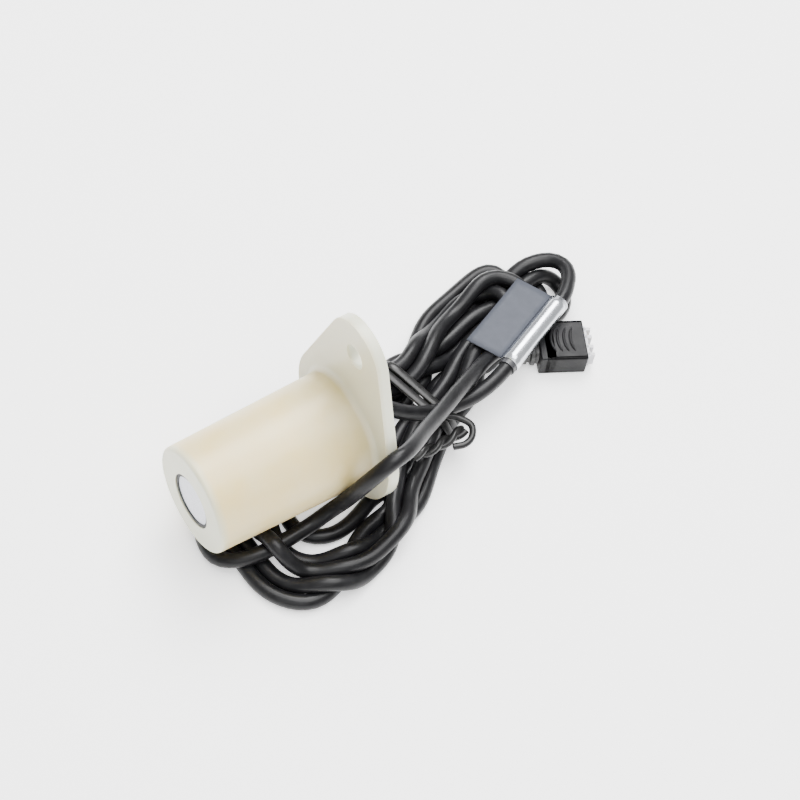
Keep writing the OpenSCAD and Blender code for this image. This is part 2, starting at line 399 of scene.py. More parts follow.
FINISHES: dict[str, Finish] = {
    # the housing's second tone is painted shade for the corner where the barrel meets the flange
    "housing_plastic": MilkyPlastic(
        "milky_housing", (0.70, 0.555, 0.245), (0.46, 0.375, 0.165), 0.36, 0.06, 9 * MM, 0.5 * MM, 0.006 * MM,
        coat=0.12, coat_roughness=0.3, subsurface=0.35, depth=1.5 * MM,
    ),
    "sleeve_rubber": Finish("sleeve_rubber", (0.012, 0.012, 0.012), (0.02, 0.02, 0.02), 0.6),
    "white_coat": Speckled(
        "grained_white", (0.80, 0.81, 0.87), (0.62, 0.63, 0.69), 0.62, 0.05, grain=0.18 * MM,
    ),
    "can_aluminium": Finish("drawn_can", (0.72, 0.73, 0.75), (0.62, 0.63, 0.65), 0.35, metallic=1.0),
    "ceramic": Finish("fired_ceramic", (0.55, 0.45, 0.30), (0.48, 0.39, 0.26), 0.7),
    "pad_silicone": Finish("damping_silicone", (0.26, 0.27, 0.29), (0.2, 0.21, 0.23), 0.55),
    "copper": Finish("drawn_copper", (0.72, 0.36, 0.18), (0.6, 0.28, 0.13), 0.3, metallic=1.0),
    "board": Finish("laminate_board", (0.2, 0.1, 0.04), (0.26, 0.14, 0.06), 0.55),
    "contact_metal": Finish("plated_contact", (0.8, 0.62, 0.28), (0.7, 0.52, 0.2), 0.25, metallic=1.0),
    "solder": Finish("bright_solder", (0.66, 0.66, 0.68), (0.5, 0.5, 0.53), 0.22, metallic=1.0),
    "foam": Cells(
        "open_foam", (0.02, 0.021, 0.023), (0.035, 0.036, 0.04), 0.9, grain=0.6 * MM, relief=0.2 * MM,
    ),
    "shrink_tube": Finish("shrink_tube", (0.3, 0.012, 0.012), (0.22, 0.01, 0.01), 0.4),
    "dielectric": Finish(
        "waxy_insulation", (0.8, 0.8, 0.77), (0.72, 0.72, 0.7), 0.4, subsurface=0.5, depth=1 * MM,
    ),
    "braid": Weave(
        "copper_braid", (0.66, 0.34, 0.18), (0.5, 0.24, 0.12), 0.35, grain=0.5 * MM, relief=0.1 * MM,
        metallic=1.0,
    ),
    "lead_jacket": Finish(
        "lead_jacket", (0.004, 0.004, 0.0045), (0.008, 0.008, 0.009), 0.38, 0.06, 6 * MM,
        grain=0.35 * MM, relief=0.01 * MM,
        coat=0.04, coat_roughness=0.06, sheen=0.2,
    ),
    "potting": Finish("cast_resin", (0.02, 0.02, 0.02), (0.03, 0.03, 0.03), 0.35),
    "boot_rubber": Finish("moulded_boot", (0.012, 0.012, 0.012), (0.02, 0.02, 0.02), 0.45),
    "label_sleeve": Finish("label_sleeve", (0.03, 0.03, 0.033), (0.045, 0.045, 0.05), 0.35),
    "foil": Brushed(
        "label_foil", (0.66, 0.68, 0.72), (0.56, 0.58, 0.62), 0.24, 0.03, relief=0.03 * MM, metallic=1.0,
    ),
    # the flag is the same foil as the tube; its dark tone is a painted reflection of the dark surroundings
    "foil_flag_painted_reflection": Brushed(
        "label_flag", (0.062, 0.067, 0.082), (0.056, 0.061, 0.075), 0.5, 0.03, relief=0.015 * MM, sheen=0.12,
    ),
    "tie_plastic": Finish(
        "tie_plastic", (0.005, 0.005, 0.005), (0.01, 0.01, 0.01), 0.32, coat=0.1, sheen=0.3,
    ),
    "shell_plastic": Finish(
        "shell_plastic", (0.006, 0.006, 0.0065), (0.01, 0.01, 0.011), 0.42, 0.06,
        relief=0.02 * MM, sheen=0.15,
    ),
    "insert_plastic": Finish(
        "insert_plastic", (0.56, 0.56, 0.58), (0.5, 0.5, 0.52), 0.4, subsurface=0.2, depth=1 * MM,
    ),
}


class Finishes:
    """Makes each slot's material once."""

    def __init__(self) -> None:
        """Starts with no materials made."""
        self._made: dict[str, bpy.types.Material] = {}

    def material(self, slot: str) -> bpy.types.Material:
        """Gives the material of a slot.

        Args:
            slot: the record's material slot.

        Returns:
            The slot's material.
        """
        if slot not in self._made:
            self._made[slot] = FINISHES[slot].build()
        return self._made[slot]

    def dress(self, piece: bpy.types.Object, slot: str, look: str = "") -> None:
        """Gives a piece its slot's material, or the given look's material in its place.

        Args:
            piece: the new piece.
            slot: the record's material slot.
            look: the finish to use in place of the slot's own.
        """
        piece.data.materials.clear()
        piece.data.materials.append(self.material(look or slot))


# ---- Mesh building ----


def finish_mesh(name: str, mesh: bmesh.types.BMesh, smooth: bool = True) -> bpy.types.Object:
    """Turns a bmesh into an object of the scene.

    Args:
        name: the object's name.
        mesh: the bmesh, which is freed.
        smooth: whether its faces are shaded smooth.

    Returns:
        The object.
    """
    bmesh.ops.recalc_face_normals(mesh, faces=mesh.faces)
    data = bpy.data.meshes.new(name)
    mesh.to_mesh(data)
    mesh.free()
    data.polygons.foreach_set("use_smooth", [smooth] * len(data.polygons))
    made = bpy.data.objects.new(name, data)
    bpy.context.collection.objects.link(made)
    return made


def bevel(piece: bpy.types.Object, width: float, segments: int = 3, angle: float = 35.0) -> None:
    """Rounds a piece's sharp edges.

    Args:
        piece: the piece.
        width: the rounding's width in metres.
        segments: the faces across it.
        angle: the least angle of an edge that is rounded, in degrees.
    """
    rounding = piece.modifiers.new("rounding", "BEVEL")
    rounding.width = width
    rounding.segments = segments
    rounding.limit_method = "ANGLE"
    rounding.angle_limit = math.radians(angle)
    rounding.harden_normals = True


def sweep(
    mesh: bmesh.types.BMesh, rings: Sequence[Sequence[Vector]], closed: bool = False
) -> None:
    """Joins rings of points into a tube, with flat ends unless it is closed.

    Args:
        mesh: the bmesh that takes the tube.
        rings: rings of the same number of points.
        closed: whether the last ring joins the first.
    """
    made = [[mesh.verts.new(point) for point in ring] for ring in rings]
    pairs = list(zip(made, made[1:] + made[:1])) if closed else list(zip(made, made[1:]))
    for ring, following in pairs:
        count = len(ring)
        for k in range(count):
            mesh.faces.new((ring[k], ring[(k + 1) % count], following[(k + 1) % count], following[k]))
    if not closed:
        mesh.faces.new(made[0])
        mesh.faces.new(list(reversed(made[-1])))


def catmull_rom(points: Sequence[Sequence[float]], step: float) -> np.ndarray:
    """Draws a smooth line through points and cuts it into equal steps.

    Args:
        points: the points.
        step: the steps' length, in the points' unit.

    Returns:
        The line's points, one row each.
    """
    given = np.array(points, float)
    given = np.vstack([2 * given[0] - given[1], given, 2 * given[-1] - given[-2]])
    share = np.linspace(0, 1, 40, endpoint=False)[:, None]
    pieces = []
    for a, b, c, d in zip(given, given[1:], given[2:], given[3:]):
        curve = 2 * b + (c - a) * share
        curve = curve + (2 * a - 5 * b + 4 * c - d) * share**2 + (3 * b - a - 3 * c + d) * share**3
        pieces.append(curve / 2)
    return resample(np.vstack([*pieces, given[-2:-1]]), step)


def resample(line: np.ndarray, step: float) -> np.ndarray:
    """Cuts a line into equal steps.

    Args:
        line: the line's points.
        step: the steps' length.

    Returns:
        The new points.
    """
    along = np.r_[0, np.cumsum(np.linalg.norm(np.diff(line, axis=0), axis=1))]
    count = round(along[-1] / step) + 1
    places = np.linspace(0, along[-1], count)
    return np.stack([np.interp(places, along, line[:, k]) for k in range(3)], axis=1)


def round_wire(name: str, line: np.ndarray, radius: float) -> bpy.types.Object:
    """Makes a round wire along a line.

    Args:
        name: the wire's name.
        line: the line's points in metres.
        radius: the wire's radius in metres.

    Returns:
        A curve object of one open spline.
    """
    curve = bpy.data.curves.new(name, "CURVE")
    curve.dimensions = "3D"
    curve.bevel_depth = radius
    curve.bevel_resolution = 6
    curve.use_fill_caps = True
    spline = curve.splines.new("POLY")
    spline.points.add(len(line) - 1)
    spline.points.foreach_set("co", np.c_[line, np.ones(len(line))].ravel())
    made = bpy.data.objects.new(name, curve)
    bpy.context.collection.objects.link(made)
    return made


# ---- The lead ----


class Layer(Enum):
    """The height in millimetres at which a turn starts out before it settles."""

    FLOOR = 2.0
    RAISED = 6.4
    STACKED = 6.5
    HIGHEST = 8.5


@dataclass(frozen=True)
class Fold:
    """A half round at the hank's far end, in millimetres."""

    right_x: float
    left_x: float
    top_y: float

    def spots(self) -> list[Spot]:
        """Gives the fold's points, from the tie up its right side, round, and down its left side."""
        radius = (self.right_x - self.left_x) / 2
        middle_x, middle_y = self.right_x - radius, self.top_y - radius
        angles = np.linspace(0, math.pi, 5)
        bend = [(middle_x + radius * math.cos(a), middle_y + radius * math.sin(a)) for a in angles]
        above_tie = (-6.5, 64)
        inward = (self.left_x + 2.5, middle_y - 9)
        back_to_tie = (-17 + (self.left_x + 22) / 2, 62)
        return [above_tie, *bend, inward, back_to_tie]


@dataclass(frozen=True)
class Turn:
    """One turn of the hank, in millimetres: under the barrel, up the right side, and round the far bend.

    Attributes:
        layer: how high the turn lies on the others beside the barrel.
        fold: its far bend.
        under_y: where it crosses the line below the barrel's middle.
        near: its points from there up the right side to the tie.
    """

    layer: Layer
    fold: Fold
    under_y: float
    near: tuple[Spot, ...]


@dataclass(frozen=True)
class Cone:
    """The barrel's outside, in millimetres."""

    front_r: float
    draft: float
    front_y: float
    length: float

    def radius(self, y: np.ndarray) -> np.ndarray:
        """Gives the barrel's radius at each y."""
        return self.front_r + self.draft * (y - self.front_y) / self.length


@dataclass(frozen=True)
class PlugBox:
    """The plug's outside on the floor, in millimetres: a narrow neck, then a wider shell."""

    x: float = -5.2
    y: float = 79.4
    turn: float = 27.0
    neck: float = 5.0
    neck_half: float = 5.0
    shell_half: float = 6.0
    length: float = 20.0
    height: float = 6.8


@dataclass
class TiedLead:
    """The lead: out of the boot, under the label, wound into the hank, and over the flange to the plug."""

    diameter_mm: float = 4.0
    step_mm: float = 2.0
    axis_z_mm: float = 20.0
    rounds: int = 900
    from_boot: tuple[Point, ...] = (
        (0, 31, 20), (2.5, 37.5, 15.5), (4, 44.5, 12), (4.5, 51, 10.8), (4.7, 57, 10.5), (3.9, 63, 10.7),
        (1.5, 70.5, 11), (-3.3, 82, 11), (-8, 93.5, 11), (-11.5, 98.5, 10.5), (-15.5, 101.7, 9.8),
        (-19.5, 101.9, 9), (-22.7, 99, 8), (-24, 93, 7),
    )
    to_plug: tuple[Point, ...] = (
        (-9, -12.5, 2.1), (-3, -17.5, 2.2), (3, -20.2, 2.6), (8.5, -20.2, 3.4), (12.3, -16.8, 5),
        (14.2, -11, 6.2), (14.3, -4, 6.6), (13.9, 3, 7), (14.5, 8, 10.5), (16.5, 11, 16.5),
        (18.6, 14, 24), (19.8, 19.8, 30.8),
        (18.4, 26, 30), (13.5, 34.5, 25), (9, 43, 20.5), (4.5, 51.5, 17), (0.5, 59.5, 13.5), (-3, 66.5, 10),
        (-5.5, 73, 6.5), (-5.5, 79, 3.6),
    )
    turns: tuple[Turn, ...] = (
        Turn(Layer.RAISED, Fold(-9.5, -22.5, 100.5), -1.4,
             ((8, -3.6), (15, -4.2), (20, -2.5), (23.8, 3), (26, 9.5), (26, 15), (24.4, 20.5),
              (21.7, 26.5), (18, 31.5), (13.2, 37), (8, 43))),
        Turn(Layer.FLOOR, Fold(-10.5, -22.5, 95), 2.8,
             ((8, 0.3), (13.5, 2.5), (16, 8), (16.6, 15), (16, 23), (12.8, 32), (6.5, 41))),
        Turn(Layer.HIGHEST, Fold(-11, -22.5, 89.5), -5.6,
             ((8, -8), (16, -8.5), (23, -5), (27.2, 1.5), (27.6, 7.5), (25.4, 14), (21, 23),
              (14.5, 32), (5.5, 41))),
        Turn(Layer.STACKED, Fold(-11, -22, 84), -9.8,
             ((8, -12), (15.5, -12), (22, -10.3), (27.3, -5.5), (29.2, 1), (28.6, 7.5),
              (25.5, 15), (20.5, 23), (13.5, 32), (4.5, 40.5))),
        Turn(Layer.FLOOR, Fold(-13, -28.6, 87.8), -14,
             ((8, -17), (14, -17.6), (19, -15.5), (24.5, -11.5), (27.8, -5.5), (28.6, 1),
              (26.5, 9), (21.5, 18), (14.5, 29), (5, 39.5))),
    )
    sink_mm: float = 0.06
    stiffness: float = 0.4
    loose_pull: float = 0.03
    last_pull: float = 0.01
    slack_mm: float = 0.06
    left_limit_mm: float = -23.0
    barrel: Cone = Cone(14, 0.9, -23, 43)
    flange_r_mm: float = 20.0
    flange_y_mm: Spot = (17.5, 25.5)
    plug: PlugBox = PlugBox()
    first_down: tuple[Spot, ...] = ((-22, 83), (-19.8, 76), (-16.6, 65), (-13, 55.5))
    line_mm: np.ndarray = field(default_factory=lambda: np.zeros((0, 3)))
    boot_count: int = 0
    plug_start: int = 0

    def _down(self, turn: Turn) -> list[Spot]:
        """Gives a turn's way down the left side.

        Args:
            turn: the turn.

        Returns:
            The points from the tie to below the barrel.
        """
        y = turn.under_y
        return [(-10, 47), (-13, 35), (-17, 21), (-18, 9 + 0.4 * y), (-14, y + 6), (-7, y + 2)]

    def _route(self) -> list[Point]:
        """Gives the whole lead's points before it settles.

        Returns:
            The points from the boot to the plug.
        """
        floor = Layer.FLOOR.value
        route = list(self.from_boot)
        height = self.from_boot[-1][2]
        for place, turn in enumerate(self.turns):
            down = self._down(turn)
            if place == 0:
                down = [*self.first_down, *down]
            for k, (x, y) in enumerate(down):
                route.append((x, y, height + (floor - height) * min(k / 4, 1)))
            height = turn.layer.value
            route.append((0, turn.under_y, floor))
            for k, (x, y) in enumerate(turn.near):
                route.append((x, y, height if k else floor))
            route.append((0, 50, height))
            route += [(x, y, height) for x, y in turn.fold.spots()]
        last_down = ((-10, 47), (-13, 34), (-18, 21), (-20, 8), (-18, -3), (-14, -9))
        route += [(x, y, floor) for x, y in last_down]
        return route + list(self.to_plug)

    def _smooth(self, line: np.ndarray, free: np.ndarray) -> None:
        """Eases the bends, as a springy lead does.

        Args:
            line: the lead's points, which are moved.
            free: one for each point that may move, and zero for the others.
        """
        bend = np.zeros_like(line)
        bend[1:-1] = (line[2:] + line[:-2]) / 2 - line[1:-1]
        change = np.zeros_like(line)
        change[2:-2] = (bend[3:-1] + bend[1:-3]) / 2 - bend[2:-2]
        line -= self.stiffness * change * free

    def _even_out(self, line: np.ndarray, free: np.ndarray) -> None:
        """Brings neighbouring points back to one step from each other.

        Args:
            line: the lead's points, which are moved.
            free: one for each point that may move, and zero for the others.
        """
        edge = line[1:] - line[:-1]
        long = np.linalg.norm(edge, axis=1)[:, None]
        stretch = 0.25 * (long - self.step_mm) / long * edge
        line[:-1] += stretch * free[:-1]
        line[1:] -= stretch * free[1:]

    def _clear_head(self, line: np.ndarray, moves: np.ndarray) -> None:
        """Keeps the lead inside its left limit, outside the barrel and beside the flange.

        Args:
            line: the lead's points, which are moved.
            moves: which points may move.
        """
        radius = self.diameter_mm / 2
        x, y, z = line[:, 0], line[:, 1], line[:, 2]
        beside = moves & (np.abs(y) < 26)
        x[beside] = np.maximum(x[beside], self.left_limit_mm + 0.45 * (z[beside] - radius))
        z[moves] = np.maximum(z[moves], radius)
        away = np.maximum(np.hypot(x, z - self.axis_z_mm), 1e-6)
        barrel = self.barrel.radius(y) + radius
        inside = moves & (y > -25) & (y < 18) & (away < barrel)
        x[inside] *= (barrel / away)[inside]
        z[inside] = self.axis_z_mm + ((z - self.axis_z_mm) * barrel / away)[inside]
        flange = self.flange_r_mm + radius
        low, high = self.flange_y_mm
        inside = moves & (y > low) & (y < high) & (away < flange) & (z < self.axis_z_mm)
        reach = np.sqrt(np.maximum(flange**2 - (z - self.axis_z_mm) ** 2, 0))
        x[inside] += (0.5 * (np.where(x < 0, -1, 1) * reach - x))[inside]
        z[moves] = np.maximum(z[moves], radius)

    def _clear_plug(self, line: np.ndarray, moves: np.ndarray) -> None:
        """Keeps the lead to the left of the plug.

        Args:
            line: the lead's points, which are moved.
            moves: which points may move.
        """
        radius = self.diameter_mm / 2
        x, y, z = line[:, 0], line[:, 1], line[:, 2]
        plug, turn = self.plug, math.radians(self.plug.turn)
        along = (x - plug.x) * math.sin(turn) + (y - plug.y) * math.cos(turn)
        across = (x - plug.x) * math.cos(turn) - (y - plug.y) * math.sin(turn)
        half = np.where(along < plug.neck, plug.neck_half, plug.shell_half) + radius
        level = (along > -1) & (along < plug.length) & (z < plug.height + radius)
        inside = moves & level & (np.abs(across) < half)
        push = (-half - across) * 0.3
        x[inside] += (push * math.cos(turn))[inside]
        y[inside] -= (push * math.sin(turn))[inside]

    def _part(self, line: np.ndarray, free: np.ndarray, first: np.ndarray, second: np.ndarray) -> None:
        """Moves touching stretches apart until they lie a diameter from each other.

        Args:
            line: the lead's points, which are moved.
            free: one for each point that may move, and zero for the others.
            first: one point of each close pair.
            second: the other point of each close pair.
        """
        gap = self.diameter_mm + self.slack_mm
        way = line[second] - line[first]
        away = np.linalg.norm(way, axis=1) + 1e-9
        near = away < gap
        first, second, way, away = first[near], second[near], way[near], away[near]
        share = free[first, 0] + free[second, 0] + 1e-9
        push = (0.7 * (gap - away) / away / share)[:, None] * way
        moved = np.zeros_like(line)
        touches = np.zeros(len(line))
        np.add.at(moved, first, -push * free[first])
        np.add.at(moved, second, push * free[second])
        np.add.at(touches, first, 1)
        np.add.at(touches, second, 1)
        line += moved / np.maximum(np.sqrt(touches), 1)[:, None]

    def settle(self) -> None:
        """Lets the turns sink onto the floor and each other, with the two ends held."""
        target = catmull_rom(self._route(), self.step_mm)
        ends = self.from_boot[-1], self.to_plug[0]
        self.boot_count = int(np.argmin(np.linalg.norm(target[:120] - ends[0], axis=1)))
        self.plug_start = len(target) - 150 + int(np.argmin(np.linalg.norm(target[-150:] - ends[1], axis=1)))
        free = np.ones((len(target), 1))
        free[: self.boot_count] = 0
        free[self.plug_start :] = 0
        moves = free[:, 0] > 0
        line = target.copy()
        for turn in range(self.rounds):
            if turn % 8 == 0:
                apart = ((line[:, None, :] - line[None, :, :]) ** 2).sum(-1)
                first, second = np.nonzero(np.triu(apart < 64, 7))
            line[:, 2] -= self.sink_mm * free[:, 0]
            pull = self.loose_pull if turn < self.rounds * 0.8 else self.last_pull
            line[:, :2] += (target[:, :2] - line[:, :2]) * pull * free
            for _ in range(4):
                self._smooth(line, free)
            for _ in range(2):
                self._even_out(line, free)
            for _ in range(2):
                self._part(line, free, first, second)
                self._clear_head(line, moves)
                self._clear_plug(line, moves)
        for _ in range(6):
            self._smooth(line, free)
        self.line_mm = line

    def build(self, finishes: Finishes) -> bpy.types.Object:
        """Settles the lead and builds it.

        Args:
            finishes: the materials.

        Returns:
            The lead's curve.
        """
        self.settle()
        line = resample(self.line_mm, self.step_mm / 2) * MM
        lead = round_wire("lead_cable", line, self.diameter_mm / 2 * MM)
        finishes.dress(lead, "lead_jacket")
        LOG.info("lead_cable: %.3f m of lead", self.length())
        return lead

    def length(self) -> float:
        """Gives the settled lead's length in metres."""
        return float(np.linalg.norm(np.diff(self.line_mm, axis=0), axis=1).sum()) * MM

    def declare(self, lead: bpy.types.Object) -> None:
        """Puts the lead under the body and hides the imported lead's nodes.

        Args:
            lead: the lead's curve.
        """
        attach(lead, BODY)
        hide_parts("cable_lead", "cable_hank", "cable_tail")
        round(self.length(), 2)


# ---- What is on the lead ----


@dataclass
class FlagLabel:
    """The foil label: a skin that wraps the lead and is pressed together as a flat flag. Millimetres."""

    start: Point = (1.5, 70.5, 11)
    end: Point = (-8, 93.5, 11)
    length: float = 24.5
    tube_r: float = 2.42
    crease: float = 2.75
    flag: float = 12.6
    lift: float = 0.5
    skin: float = 0.14
    rows: int = 12

    def _tube(self) -> list[Spot]:
        """Gives the tube's outline across the lead, open towards the flag."""
        lean = math.radians(26)
        around = np.linspace(lean, 2 * math.pi - lean, 28)
        outline = [(self.tube_r * math.cos(a), self.tube_r * math.sin(a)) for a in around]
        return [(self.crease, self.lift + self.skin), *outline, (self.crease, self.lift - self.skin)]

    def _sheet(self, name: str, outline: Sequence[Spot], skin: float, taper: float) -> bpy.types.Object:
        """Builds one stretch of the skin along the lead.

        Args:
            name: the piece's name.
            outline: the skin's middle line, as distances beside and above the lead.
            skin: the skin's thickness.
            taper: how much the sheet's far corners are drawn in along the lead.

        Returns:
            The piece.
        """
        start, end = Vector(self.start) * MM, Vector(self.end) * MM
        way = (end - start).normalized()
        aside = Vector((0, 0, 1)).cross(way)
        middle = (start + end) / 2
        mesh = bmesh.new()
        rows = []
        for k in range(self.rows + 1):
            share = 2 * k / self.rows - 1
            row = []
            for x, y in outline:
                out = max(x - self.crease, 0) / (self.flag - self.crease)
                along = share * self.length / 2 + taper * out
                rise = y + 0.35 * out * share**2
                row.append(mesh.verts.new(middle + (way * along + aside * x + Vector((0, 0, rise))) * MM))
            rows.append(row)
        for row, following in zip(rows, rows[1:]):
            for k in range(len(outline) - 1):
                mesh.faces.new((row[k], row[k + 1], following[k + 1], following[k]))
        sheet = finish_mesh(name, mesh)
        depth = sheet.modifiers.new("skin", "SOLIDIFY")
        depth.thickness = skin * MM
        depth.offset = 0.0
        return sheet

    def build(self, finishes: Finishes) -> list[bpy.types.Object]:
        """Builds the label's tube and flag.

        Args:
            finishes: the materials.

        Returns:
            The two pieces.
        """
        flat = [(x, self.lift) for x in np.linspace(self.crease - 0.2, self.flag, 8)]
        tube = self._sheet("label_tube", self._tube(), self.skin, 0.0)
        flag = self._sheet("label_flag", flat, self.skin * 2.4, -1.0)
        finishes.dress(tube, "foil")
        # the flag's dark look is a painted reflection on the same foil
        finishes.dress(flag, "foil", "foil_flag_painted_reflection")
        for piece in (tube, flag):
            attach(piece, BODY)
            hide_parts("foil_label")
            LOG.info("%s: %.1f mm long", piece.name, self.length)
        return [tube, flag]


@dataclass
class TwistTie:
    """The tie: two wraps around the waist of the hank, a twisted stub and a hooked end. Millimetres."""

    middle: Spot = (-3, 46)
    turn: float = 20.0
    width: float = 2.3
    thickness: float = 0.9
    wire_r: float = 0.9
    stub: tuple[Point, ...] = (
        (11.6, 34.4, 10.2), (12, 38, 10.2), (11.9, 42, 9.8), (11.5, 46, 9.4), (10.9, 50.4, 9),
    )
    hook: tuple[Point, ...] = (
        (3, 45.8, 12), (6, 47.4, 11.4), (8, 50.4, 10.6), (11, 52.4, 9.8), (13.6, 51, 9.2),
        (14.5, 48.4, 8.8), (13.6, 45.4, 8.6),
    )

    def _hull(self, spots: np.ndarray) -> np.ndarray:
        """Gives the outline that a band pulled around spots takes.

        Args:
            spots: the spots, one row each.

        Returns:
            The outline's corners, anticlockwise.
        """
        order = sorted(map(tuple, spots))
        outline: list[Spot] = []
        for run in (order, order[::-1]):
            start = len(outline)
            for spot in run:
                while len(outline) - start >= 2 and self._turns_right(outline[-2], outline[-1], spot):
                    outline.pop()
                outline.append(spot)
            outline.pop()
        return np.array(outline)

    def _turns_right(self, a: Spot, b: Spot, c: Spot) -> bool:
        """Tells whether the way from a over b to c turns right or goes straight on."""
        return (b[0] - a[0]) * (c[1] - a[1]) - (b[1] - a[1]) * (c[0] - a[0]) <= 0

    def _wrap(self, line: np.ndarray, shift: float) -> list[list[Vector]]:
        """Gives the rings of one wrap around the hank's turns.

        Args:
            line: the turns' points in millimetres.
            shift: how far along the hank the wrap lies from the tie's middle.

        Returns:
            One ring of the band's corners at each place around.
        """
        turn = math.radians(self.turn)
        across = np.array([math.cos(turn), math.sin(turn), 0])
        along = np.array([-math.sin(turn), math.cos(turn), 0])
        centre = np.array([*self.middle, 0]) + along * shift
        local = line - centre
        close = np.abs(local @ along) < 1.6
        spots = np.stack([local[close] @ across, local[close][:, 2]], axis=1)
        spots = spots[np.abs(spots[:, 0]) < 14]
        circle = [(math.cos(a), math.sin(a)) for a in np.linspace(0, 2 * math.pi, 24, endpoint=False)]
        reach = 2.05 + self.thickness / 2
        lowest = self.thickness / 2
        grown = np.array([(x + c * reach, max(z + s * reach, lowest)) for x, z in spots for c, s in circle])
        hull = self._hull(grown)
        closed = np.vstack([hull, hull[:1]])
        even = resample(np.c_[closed, np.zeros(len(closed))], 0.9)[:-1, :2]
        for _ in range(3):
            even = (even + np.roll(even, 1, 0) + np.roll(even, -1, 0)) / 3
        ahead = np.roll(even, -1, 0) - np.roll(even, 1, 0)
        ahead /= np.linalg.norm(ahead, axis=1)[:, None]
        out = np.stack([ahead[:, 1], -ahead[:, 0]], axis=1)
        half_t, half_w = self.thickness / 2, self.width / 2
        corner = 0.3
        section = [(half_t, -half_w + corner), (half_t, half_w - corner), (half_t - corner, half_w),
                   (-half_t + corner, half_w), (-half_t, half_w - corner), (-half_t, -half_w + corner),
                   (-half_t + corner, -half_w), (half_t - corner, -half_w)]
        rings = []
        for spot, side in zip(even, out):
            ring = []
            for o, w in section:
                flat = spot + side * o
                place = centre + across * flat[0] + along * w + np.array([0, 0, flat[1]])
                ring.append(Vector(place * MM))
            rings.append(ring)
        return rings

    def build(self, finishes: Finishes, lead: TiedLead) -> list[bpy.types.Object]:
        """Builds the tie around the settled hank.

        Args:
            finishes: the materials.
            lead: the settled lead.

        Returns:
            The tie's pieces.
        """
        turns = lead.line_mm[lead.boot_count : lead.plug_start]
        mesh = bmesh.new()
        for shift in (-1.3, 1.3):
            sweep(mesh, self._wrap(turns, shift), closed=True)
        pieces = [finish_mesh("tie_band", mesh)]
        centre = catmull_rom(self.stub, 0.4)
        for place, name in enumerate(("tie_twist_left", "tie_twist_right")):
            angle = np.arange(len(centre)) * 0.4 / 1.6 + place * math.pi
            ahead = np.gradient(centre, axis=0)
            ahead /= np.linalg.norm(ahead, axis=1)[:, None]
            side = np.cross(ahead, [0, 0, 1.0])
            side /= np.linalg.norm(side, axis=1)[:, None]
            up = np.cross(side, ahead)
            line = centre + (np.cos(angle)[:, None] * side + np.sin(angle)[:, None] * up) * self.wire_r * 0.85
            pieces.append(round_wire(name, line * MM, self.wire_r * MM))
        pieces.append(round_wire("tie_hook", catmull_rom(self.hook, 0.5) * MM, self.wire_r * MM))
        for piece in pieces:
            finishes.dress(piece, "tie_plastic")
            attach(piece, BODY)
            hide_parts("twist_tie")
            LOG.info("%s built", piece.name)
        return pieces


